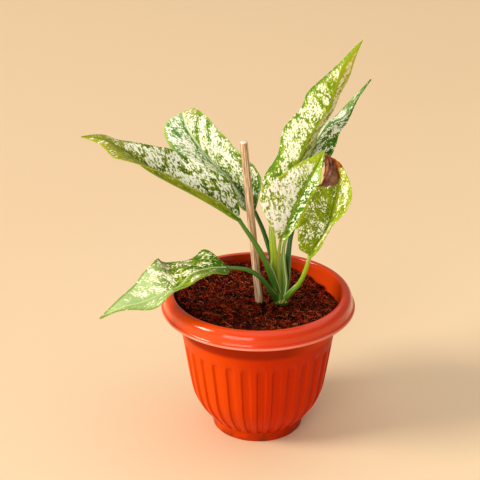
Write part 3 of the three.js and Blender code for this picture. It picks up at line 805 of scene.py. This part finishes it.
def stalk_piece(name, stalk):
    """One stalk: it tapers, with a channel inside and two wings where it is sheathed."""
    at, length = measured(stalk["path"])
    foot, top = stalk["radius"]
    lean = Vector(stalk["path"][-1]) - Vector(stalk["path"][0])
    inner = Vector((-lean.x, -lean.y, 0)).normalized() + Vector((0, 0, 0.8))

    @functools.cache
    def ring(u):
        centre = at(u)
        along = (at(u + 0.01) - at(u - 0.01)).normalized()
        face = (inner - along * inner.dot(along)).normalized()
        return centre, face, along.cross(face)

    def place(turn, u):
        centre, face, side = ring(u)
        angle = 2 * pi * turn - pi
        radius = (foot + (top - foot) * u ** 0.7) * MM
        radius *= 1 - 0.28 * exp(-(angle / 0.6) ** 2) * smooth((1 - u) * 12)
        cover = smooth((stalk["sheath"] - u) / 0.12)
        wing = SHEATH_WING * cover * exp(-((abs(angle) - 0.85) / 0.17) ** 2)
        ribs = 0.00005 * sin(angle * 11)
        radius += wing + ribs
        return centre + (face * cos(angle) + side * sin(angle)) * radius

    piece = rolled(name, STALK_COLUMNS, STALK_ROWS, place)
    finish = stalk_finish(name, stalk, 2 * pi * foot * MM, length)
    piece.data.materials.append(finish.material)
    return piece


def stalk_finish(name, stalk, girth, length):
    """Fleshy skin with fine lines along it, pale sheath edges and a paler foot."""
    flesh = Finish(f"{name}_skin", {
        "Specular IOR Level": 0.5, "Coat Weight": 0.35, "Coat Roughness": 0.2,
        "Subsurface Weight": 0.08, "Subsurface Radius": (0.002, 0.003, 0.001),
    })
    place = skin_place(flesh, girth, length)
    shares = flesh.axes(flesh.mapped("skin"))
    up = shares["Y"]
    turn = abs(shares["X"] - 0.5)
    lines = flesh.clouds(flesh.scaled(place, (1, 0.05, 1)), 0.0006, 3)
    drift = flesh.clouds(flesh.scaled(place, (1, 0.3, 1)), 0.006, 3)
    lower, upper, pale_edge = (paint(code) for code in stalk["colours"])
    pale_foot = drift.rise(0.50, 0.66) * up.rise(0.20, 0.0)
    sheathed = up.rise(stalk["sheath"] + 0.02, stalk["sheath"] - 0.08)
    edge = turn.rise(0.10, 0.125) * turn.rise(0.17, 0.145) * sheathed
    colour = flesh.layered(
        lower, ((up + drift * 0.3).rise(0.2, 0.9), upper), (lines.rise(0.45, 0.75) * 0.35, upper),
        (pale_foot * 0.85, paint(STALK_FOOT_COLOUR)), (edge * 0.65, pale_edge),
    )
    flesh.put({"Base Color": colour, "Roughness": 0.32 + drift * 0.15})
    flesh.bump(lines, 0.00015, 0.5)
    return flesh


for name, stalk in STALKS.items():
    piece = stalk_piece(f"{name}_skinned", stalk)
    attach(piece, "root")
    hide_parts(name)


def crown_point(turn, u):
    """The stem swells between its leaf scars and closes over in a blunt, knobbly top."""
    angle = 2 * pi * turn
    height = CROWN_ROOT + (CROWN_TOP - CROWN_ROOT) * u
    scars = 0.0005 * abs(sin((height + 0.002 * sin(angle)) * 640))
    knobs = 0.0009 * noise.noise(Vector((cos(angle), sin(angle), height * 120)))
    radius = (CROWN_RADIUS + scars + knobs) * min(1.0, 0.45 + 9 * u)
    radius *= sqrt(max(0.0, 1 - smooth((u - 0.80) / 0.22) ** 2))
    return CROWN_AT + Vector((radius * cos(angle), radius * sin(angle), height))


crown = rolled("crown_stem", CROWN_COLUMNS, CROWN_ROWS, crown_point)
stem = Finish("crown_skin", {"Specular IOR Level": 0.45})
tones = paints(CROWN_COLOURS)
height = stem.axes(stem.spot())["Z"]
blotch = stem.clouds(stem.spot(), 0.004, 3)
level = height + 0.004 * (blotch - 0.5)
ring = level.rise(0.1445, 0.1460) * level.rise(0.1515, 0.1495)
colour = stem.layered(
    tones["dark"], (blotch.rise(0.4, 0.62), tones["green"]),
    (ring * blotch.rise(0.42, 0.54) * 0.9, tones["scar"]),
    ((height + blotch * 0.004).rise(0.1445, 0.1425), tones["foot"]),
)
stem.put({"Base Color": colour, "Roughness": 0.4 + blotch * 0.2})
stem.bump(blotch, 0.0006, 0.6)
crown.data.materials.append(stem.material)
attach(crown, "root")
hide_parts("crown")


# ------------------------ leaf blades
# Each leaf is one thin, slightly quilted blade, folded along a sunken midrib that stands out
# as a ridge underneath. Green, with cream flecks that follow the veins towards the tip.

BLADE_THICKNESS = 0.0005
RIB_AT_BASE = 0.0024
RIB_AT_TIP = 0.0009
RIB_HALF = 0.0012
SUNKEN_DEPTH = 0.0006
SUNKEN_HALF = 0.0011
BASE_HALF = 0.0015
TIP_HALF = 0.00035
ROUND_BASE = 0.55
SLIM_TIP = 0.95
LOBE_REACH = 0.22
FRAME_SPAN = 0.08
ARCH = 0.05
VEIN_SPACING = 0.0078
VEIN_RISE = 0.00018
VEIN_LEAN = 1.15
VEIN_CURVE = 11.0
VEIN_FADE = 0.006
FLECK_LEAN = radians(33)
FLECK_STRETCH = 1.7
BLADE_ROWS = 190
BLADE_COLUMNS = 64
UNDERSIDE_COLOUR = "a3bd84"
# In millimetres: the midrib from base to tip, the flecks' size as grain, how far each half
# reaches back at the base as lobe, and how high the margin ripples as wave. Faces is the side
# that the blade faces. Left and right give each half's width, as if the outline were the plain
# leaf shape of that half width, and its fold in degrees. Colours are given for the left and the
# right half. Base adds where its colour ends, and tip where its own begins and is full, as
# shares of the length. Fleck says how densely each half is flecked at the base, middle and tip,
# and seed sets the noise apart.
LEAVES = {
    "leaf_a": {
        "midrib": [(-32, -26, 191), (-49, -34, 194), (-66, -42, 192), (-78, -48, 181), (-94, -52, 175),
                   (-113, -56, 168), (-133, -60, 164), (-157, -62, 153)],
        "faces": (-0.15, -0.8, 0.6),
        "left": ([48, 29, 32, 32, 36, 28, 29], [60, 60, 70, 55, 85]),
        "right": ([16, 42, 32, 28, 32, 37, 38, 36, 36, 34, 31, 29, 27], [-25, -45, -5, -15, -25]),
        "lobe": (-3.5, 0), "wave": 1.4,
        "green": ("8ca41a", "7a900c"), "deep": ("5c7c0c", "3c6606"), "pale": ("dce87c", "d8e062"),
        "rim": ("7f9416", "5c8a08"), "cream": ("f6f8d8", "fbf9dc"), "rib": "cfe0a4",
        "base": ("246408", "246408", 0.30), "tip": ("a0be74", "acc886", 0.42, 0.66),
        "fleck": ((-0.10, -0.12, -0.20), (-0.06, 0.0, -0.18)), "grain": 1.6, "seed": 1.0,
    },
    "leaf_b": {
        "midrib": [(-20, -24, 243), (-41, -22, 256), (-64, -20, 269), (-87, -18, 281), (-109, -16, 294),
                   (-132, -14, 312), (-150, -14, 323), (-172, -14, 326)],
        "faces": (0.1, -0.75, 0.65),
        "left": ([34, 33, 31, 27, 26, 34, 44, 26, 20], [80, 80, 82, 75, 40, 30]),
        "right": ([30, 38, 31, 33, 34, 27, 23, 29, 24], [-20, -5, -15, -15, -50, -40]),
        "lobe": (0, 0), "wave": 1.2,
        "green": ("869408", "7c900a"), "deep": ("546a02", "3e6202"), "pale": ("d0d44a", "e0e458"),
        "rim": ("a2aa1a", "4c8008"), "cream": ("f6ffe4", "f8ffe8"), "rib": "7a8c0e",
        "base": ("2f6808", "2f6808", 0.22), "tip": ("a8a60e", "a0a00c", 0.52, 0.86),
        "fleck": ((-0.25, -0.25, -0.05), (0.06, 0.08, -0.06)), "grain": 1.9, "seed": 2.0,
    },
    "leaf_c": {
        "midrib": [(-4, 16, 234), (-15, 23, 245), (-30, 32, 263), (-45, 42, 274), (-60, 53, 289),
                   (-72, 66, 304), (-77, 83, 314), (-78, 104, 306)],
        "faces": (0, -0.8, 0.6),
        "left": ([30, 29, 30, 31, 35, 38, 34], [50, 65, 50, 30, -5, -30]),
        "right": ([28, 34, 31, 33, 35, 32, 28], [60, 40, 45, 40, 20, 0]),
        "lobe": (0, 0), "wave": 1.2,
        "green": ("82a84c", "7c9a26"), "deep": ("4a7e36", "4a7412"), "pale": ("dff2b0", "dcea8c"),
        "rim": ("a4cc5c", "86a63a"), "cream": ("fbfdec", "fdfde6"), "rib": "e4f0cc",
        # The left half's teal green near the base is painted shade.
        "base": ("2f7448", "1f5c14", 0.42), "tip": ("9cc87c", "d0b424", 0.72, 0.95),
        "fleck": ((0.02, 0.06, 0.02), (-0.06, 0.07, 0.02)), "grain": 1.5, "seed": 3.0,
    },
    "leaf_d": {
        "midrib": [(19, 2, 239), (27, 6, 265), (40, 10, 292), (52, 14, 317), (67, 17, 340),
                   (76, 20, 365), (85, 22, 389), (100, 22, 411)],
        "faces": (-0.2, -0.85, 0.5),
        "left": ([31, 29, 21, 26, 24, 30, 22, 10, 16], [10, 10, 10, 10, 10]),
        "right": ([32, 32, 31, 28, 29, 30, 14], [-95, -96, -96, -88, -92, -92, -74, -68, -60]),
        "lobe": (0, 0), "wave": 1.6,
        "green": ("90a80e", "98b014"), "deep": ("588206", "628606"), "pale": ("dcee5c", "eaf060"),
        "rim": ("4f8a04", "a8ba14"), "cream": ("fefde0", "fbf6cc"), "rib": "a8c020",
        "base": ("3c7a08", "4a7a08", 0.20), "tip": ("bccc20", "c8cc24", 0.62, 0.92),
        "fleck": ((0.0, 0.03, -0.08), (0.05, 0.05, 0.02)), "grain": 1.5, "seed": 4.0,
    },
    "leaf_e": {
        "midrib": [(35, 13, 215), (39, 24, 242), (46, 34, 268), (56, 42, 293), (69, 48, 313),
                   (86, 53, 322), (99, 57, 341), (112, 60, 359)],
        "faces": (-0.2, -0.85, 0.5),
        "left": ([27, 27, 27, 27, 29, 26, 27], [-60, -65, -75, -60, -70]),
        "right": ([27, 26, 24, 28, 29, 26, 26], [35, 45, 35, 65, 65]),
        "lobe": (0, 0), "wave": 1,
        "green": ("7fa646", "4a7a0c"), "deep": ("46782a", "1e5206"), "pale": ("e4f4c0", "c0d870"),
        "rim": ("74a034", "36720c"), "cream": ("f2f8ee", "fbfcec"), "rib": "5a8a24",
        "base": ("2a6410", "1f5a10", 0.30), "tip": ("5c8a18", "5c8a18", 0.75, 0.95),
        "fleck": ((0.04, 0.06, 0.02), (0.02, 0.04, -0.02)), "grain": 1.4, "seed": 5.0,
    },
    "leaf_f": {
        "midrib": [(22, -16, 216), (29, -14, 232), (36, -12, 252), (43, -11, 267), (50, -12, 282),
                   (57, -14, 296), (63, -18, 312)],
        "faces": (0, -0.9, 0.42),
        "left": ([8, 24, 37, 33, 28, 30, 30], [45, 20, 20, 15, 15]),
        "right": ([8, 9, 20, 29, 30, 28, 28], [30, 35, 40, 55, 70]),
        "lobe": (3, 0), "wave": 1,
        # The right half's darker, cooler greens are painted shade: that half turns away from the light.
        "green": ("8ea410", "5c8c16"), "deep": ("607a08", "30640c"), "pale": ("e4f068", "d4ee84"),
        "rim": ("a4bc16", "a8c828"), "cream": ("fffef2", "f8ffe8"), "rib": "90a418",
        "base": ("8a9a14", "3a7010", 0.12), "tip": ("b4c826", "8fb832", 0.55, 0.90),
        "fleck": ((0.14, 0.11, -0.02), (0.05, 0.02, -0.06)), "grain": 1.7, "seed": 6.0,
    },
    "leaf_g": {
        "midrib": [(51, -24, 204), (63, -32, 228), (70, -36, 245), (73, -38, 260), (76, -39, 278),
                   (77, -38, 293), (72, -37, 307), (63, -38, 316)],
        "faces": (0, -0.9, 0.42),
        "left": ([26, 32, 31, 30, 28, 33, 37], [30, 20, 20, 25, 0]),
        "right": ([23, 21, 15, 12, 20, 30, 20, 25, 26], [75, 85, 60, 65, 70]),
        "lobe": (5, 0), "wave": 1.2,
        "green": ("7f960e", "94a81c"), "deep": ("627a08", "6c800c"), "pale": ("cedc58", "e4ec68"),
        "rim": ("98ac0e", "98b218"), "cream": ("f4f8ee", "fbfbe0"), "rib": "aab81c",
        # The right half's darker green near the base is painted shade.
        "base": ("8ea410", "5c7a08", 0.15), "tip": ("a0a812", "b8c020", 0.60, 0.95),
        "fleck": ((0.0, -0.06, -0.02), (-0.06, 0.0, 0.0)), "grain": 1.4, "seed": 7.0,
    },
}
# The front right leaf has died back: its brown end starts here on its left and right half.
DRY_FROM = (0.64, 0.82)


def outline(s):
    """The plain leaf shape: half width at s, from 0 at base and tip to 1 where it is widest."""
    peak = ROUND_BASE / (ROUND_BASE + SLIM_TIP)
    return (s / peak) ** ROUND_BASE * max(0.0, (1 - s) / (1 - peak)) ** SLIM_TIP


@functools.cache
def station(name, s):
    """Where the midrib is at s and runs to, and each half's width and direction out and up."""
    leaf = LEAVES[name]
    rows = [Vector(p) * MM for p in leaf["midrib"]]
    along = (through(rows, s + FRAME_SPAN) - through(rows, s - FRAME_SPAN)).normalized()
    across = along.cross(Vector(leaf["faces"])).normalized()
    up = across.cross(along)
    halves = []
    for side, (widths, folds) in ((-1, leaf["left"]), (1, leaf["right"])):
        width = through(widths, s) * MM * outline(s) + BASE_HALF + (TIP_HALF - BASE_HALF) * s
        fold = radians(through(folds, s))
        outward = across * (side * cos(fold)) + up * sin(fold)
        normal = up * cos(fold) - across * (side * sin(fold))
        halves.append((width, outward, normal))
    return through(rows, s), along, halves


@functools.cache
def midrib_length(name):
    """Length of the leaf's midrib in metres."""
    rows = [Vector(p) for p in LEAVES[name]["midrib"]]
    return MM * sum((b - a).length for a, b in zip(rows, rows[1:]))


def blade_point(name, s, v):
    """Point of the upper face, s from base to tip and v from -1 over the midrib to 1, with its
    distances from the midrib and from the margin and its place along its vein."""
    leaf = LEAVES[name]
    centre, along, halves = station(name, s)
    k = 0 if v < 0 else 1
    side = 2 * k - 1
    a = abs(v)
    width, outward, normal = halves[k]
    ripple = leaf["wave"] * MM * a * a * outline(s) * sin(2 * pi * (3.3 * s + 0.27 * side))
    back = leaf["lobe"][k] * MM * a * a * exp(-((s / LOBE_REACH) ** 2)) * min(1.0, s / 0.04)
    y = width * a
    vein = s * midrib_length(name) - VEIN_LEAN * y - VEIN_CURVE * y * y
    inner = smooth(y / VEIN_FADE) * smooth((width - y) / VEIN_FADE)
    quilt = VEIN_RISE * cos(2 * pi * vein / VEIN_SPACING) * inner
    sunken = SUNKEN_DEPTH * exp(-((y / SUNKEN_HALF) ** 2))
    sunken *= smooth(s / 0.05) * smooth((1 - s) / 0.2)
    wander = noise.noise(Vector((s * 9, v * 2.0, leaf["seed"])))
    tilt = 0.0007 * wander * a * outline(s)
    edge = 1 + 0.018 * a * noise.noise(Vector((s * 31, side * 3.0, leaf["seed"])))
    point = centre + outward * (y * edge) - along * back
    point += normal * (width * ARCH * 4 * a * (1 - a) + ripple + quilt - sunken + tilt)
    return point, y, width - y, vein


def fleck_place(name, s, y, half):
    """Place on the blade in metres, for flecks that lie aslant of the midrib as the veins do."""
    run = s * midrib_length(name)
    along = run * cos(FLECK_LEAN) + y * sin(FLECK_LEAN)
    across = y * cos(FLECK_LEAN) - run * sin(FLECK_LEAN)
    return along / FLECK_STRETCH, across + 0.3 * half


def ribbon(t):
    """Columns of the blade's grid lie closer together near the midrib."""
    return t * (0.55 + 0.45 * t * t)


def write_map(mesh, name, pairs):
    """A UV map from one pair for each vertex."""
    layer = mesh.uv_layers.get(name) or mesh.uv_layers.new(name=name)
    flat = [number for loop in mesh.loops for number in pairs[loop.vertex_index]]
    layer.data.foreach_set("uv", flat)


def blade_piece(piece_name, name, rows, columns, start, end, creases=None):
    """The part of a blade from start(v) to end(v), as a thin sheet with its midrib ridge."""
    blade = grid(columns, rows)
    blade.name = piece_name
    mesh = blade.data
    mesh.uv_layers[0].name = "blade"
    ridge = blade.vertex_groups.new(name="thickness")
    shares, veins, reaches, flecks = [], [], [], []
    for vertex in mesh.vertices:
        v = ribbon(round(2 * vertex.co.x, 6))
        u = round(vertex.co.y + 0.5, 6)
        s = round(start(v) + (end(v) - start(v)) * u, 6)
        point, y, margin, vein = blade_point(name, s, v)
        if creases:
            point = point + creases(u, v)
        vertex.co = point
        rib = (RIB_AT_BASE + (RIB_AT_TIP - RIB_AT_BASE) * s) * exp(-((y / RIB_HALF) ** 2))
        weight = (BLADE_THICKNESS + rib) / (BLADE_THICKNESS + RIB_AT_BASE)
        ridge.add([vertex.index], weight, "REPLACE")
        shares.append((s, 0.5 + v / 2))
        veins.append((vein, y if v >= 0 else -y - 0.1))
        reaches.append((y, max(0.0, margin)))
        flecks.append(fleck_place(name, s, y, 0 if v < 0 else 1))
    write_map(mesh, "blade", shares)
    write_map(mesh, "veins", veins)
    write_map(mesh, "reach", reaches)
    write_map(mesh, "flecks", flecks)
    sheet = blade.modifiers.new("thickness", "SOLIDIFY")
    sheet.thickness = BLADE_THICKNESS + RIB_AT_BASE
    sheet.vertex_group = ridge.name
    sheet.offset = -1
    sheet.material_offset = 1
    bpy.ops.object.modifier_apply(modifier=sheet.name)
    blade.vertex_groups.clear()
    bpy.ops.object.shade_smooth_by_angle(angle=radians(60))
    return blade


def blade_finish(name, leaf, under):
    """Waxy leaf skin. The underside has the same flecks, dulled under a paler, greyer green."""
    skin = Finish(f"{name}_{'under' if under else 'upper'}", {
        "Specular IOR Level": 0.14, "Coat Weight": 0.0 if under else 0.03, "Coat Roughness": 0.3,
        "Subsurface Weight": 0.2, "Subsurface Radius": (1.2, 1.2, 0.6), "Subsurface Scale": 0.001,
    })
    share = skin.axes(skin.mapped("blade"))
    reach = skin.axes(skin.mapped("reach"))
    vein = skin.shifted(skin.mapped("veins"), (0, 0, leaf["seed"]))
    fleck = skin.shifted(skin.mapped("flecks"), (0, 0, leaf["seed"]))
    along = share["X"]
    right = share["Y"].rise(0.495, 0.505)
    from_rib, from_edge = reach["X"], reach["Y"]

    dense = skin.clouds(fleck, 0.0075, 2)
    zone = from_rib.rise(0.0010, 0.0050) * from_edge.rise(0.0006, 0.0050) * along.rise(0.0, 0.10)
    size = leaf["grain"] * MM
    thick_left, thick_right = (
        base + (middle - base) * along.rise(0.05, 0.35) + (tip - middle) * along.rise(0.6, 0.9)
        for base, middle, tip in leaf["fleck"]
    )
    field = skin.clouds(fleck, size, 3) + 0.15 * zone + (dense - 0.5)
    field = field + thick_left * (1 - right) + thick_right * right - 0.16
    holes = skin.clouds(skin.shifted(fleck, (0, 0, 5)), size, 2, 0.4).rise(0.56, 0.61)
    cream = field.rise(0.500, 0.530) * (1 - 0.9 * holes)
    halo = field.rise(0.44, 0.51) * (1 - 0.6 * holes)
    specks = skin.clouds(skin.shifted(fleck, (0, 0, 3)), 0.0019, 2).rise(0.60, 0.66)
    specks = specks * from_rib.rise(0.0008, 0.002)

    keys = ("green", "deep", "pale", "rim", "cream", "base", "tip")
    tones = {key: skin.mix(right, paint(leaf[key][0]), paint(leaf[key][1])) for key in keys}
    near_base = along.rise(leaf["base"][2], 0.0)
    near_tip = along.rise(*leaf["tip"][2:])
    tones["pale"] = skin.mix(near_tip * 0.7, tones["pale"], skin.mix(0.5, tones["tip"], tones["cream"]))
    mottle = skin.clouds(fleck, 0.008, 3)
    rib = from_rib.rise(0.0017, 0.0008) * along.rise(1.0, 0.9)
    colour = skin.layered(
        tones["deep"], (mottle.rise(0.38, 0.70), tones["green"]), (near_base * 0.85, tones["base"]),
        (near_tip * 0.85, tones["tip"]), (from_edge.rise(0.0036, 0.0008) * 0.8, tones["rim"]),
        (halo * 0.42, tones["pale"]), (specks * 0.75, tones["pale"]), (cream, tones["cream"]),
        (rib * 0.85, paint(leaf["rib"])),
    )
    if under:
        colour = skin.mix(0.55, colour, paint(UNDERSIDE_COLOUR))
    relief = skin.clouds(skin.scaled(vein, (1, 0.2, 1)), 0.0016, 3)
    skin.put({"Base Color": colour, "Roughness": 0.4 + relief * 0.16 + (0.12 if under else 0.0)})
    skin.bump(relief + 0.4 * skin.clouds(vein, 0.0007, 2), 0.00022, 0.6)
    return skin


def dry_edge(v):
    """Where the green of the front right leaf gives way to its dead end, in a ragged line."""
    ragged = 0.018 * noise.noise(Vector((v * 7, 0.5, 3.3)))
    ragged += 0.008 * noise.noise(Vector((v * 24, 0.5, 8.1)))
    return DRY_FROM[0] + (DRY_FROM[1] - DRY_FROM[0]) * smooth((v + 0.3) / 0.8) + ragged


for name, leaf in LEAVES.items():
    end = dry_edge if name == "leaf_g" else (lambda v: 1.0)
    blade = blade_piece(f"{name}_blade", name, BLADE_ROWS, BLADE_COLUMNS, lambda v: 0.0, end)
    blade.data.materials.append(blade_finish(name, leaf, False).material)
    blade.data.materials.append(blade_finish(name, leaf, True).material)
    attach(blade, "root")
    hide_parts(name)


# ------------------------ dead leaf end
# The end of the front right leaf is dead: thin, brown and crumpled, and rust-red at its edges,
# with a grey-purple painted sheen on its left half. It grew as one with the living blade.

DRY_ROWS = 90
CREASE_DEPTH = 0.0045
CREASE_WAY = Vector((0.3, -0.9, 0.3))
DEAD_COLOURS = {"rust": "642806", "tan": "a45c16", "bloom": "76605a", "vein": "34140a"}


def crumple(u, v):
    """Creases that grow away from the living edge."""
    spot = Vector((u * 3.1, v * 2.2, 5.0))
    crease = abs(noise.noise(spot)) + 0.35 * abs(noise.noise(spot * 1.9)) - 0.2
    return CREASE_WAY * (CREASE_DEPTH * crease * smooth(u / 0.25) * smooth((1 - u) / 0.1))


to_tip = (dry_edge, lambda v: 1.0)
dry = blade_piece("dry_leaf_end", "leaf_g", DRY_ROWS, BLADE_COLUMNS, *to_tip, crumple)
dead = Finish("dead_leaf", {"Specular IOR Level": 0.35})
tones = paints(DEAD_COLOURS)
blotch = dead.clouds(dead.spot(), 0.008, 4, 0.6)
fine = dead.clouds(dead.spot(), 0.0018, 3)
across = dead.axes(dead.mapped("blade"))["Y"]
margin = dead.axes(dead.mapped("reach"))["Y"]
# The grey-purple on the left half is a painted sheen.
bloom = across.rise(0.52, 0.42) * margin.rise(0.001, 0.005) * blotch.rise(0.3, 0.5)
colour = dead.layered(
    tones["rust"], (blotch.rise(0.4, 0.6), tones["tan"]), (bloom * 0.6, tones["bloom"]),
    (fine.rise(0.55, 0.75) * 0.5, tones["vein"]),
)
dead.put({"Base Color": colour, "Roughness": 0.55 + fine * 0.3})
dead.bump(blotch + 0.6 * fine, 0.0006, 0.9)
dry.data.materials.append(dead.material)
dry.data.materials.append(dead.material)
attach(dry, "root")
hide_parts("dry_tip_g")
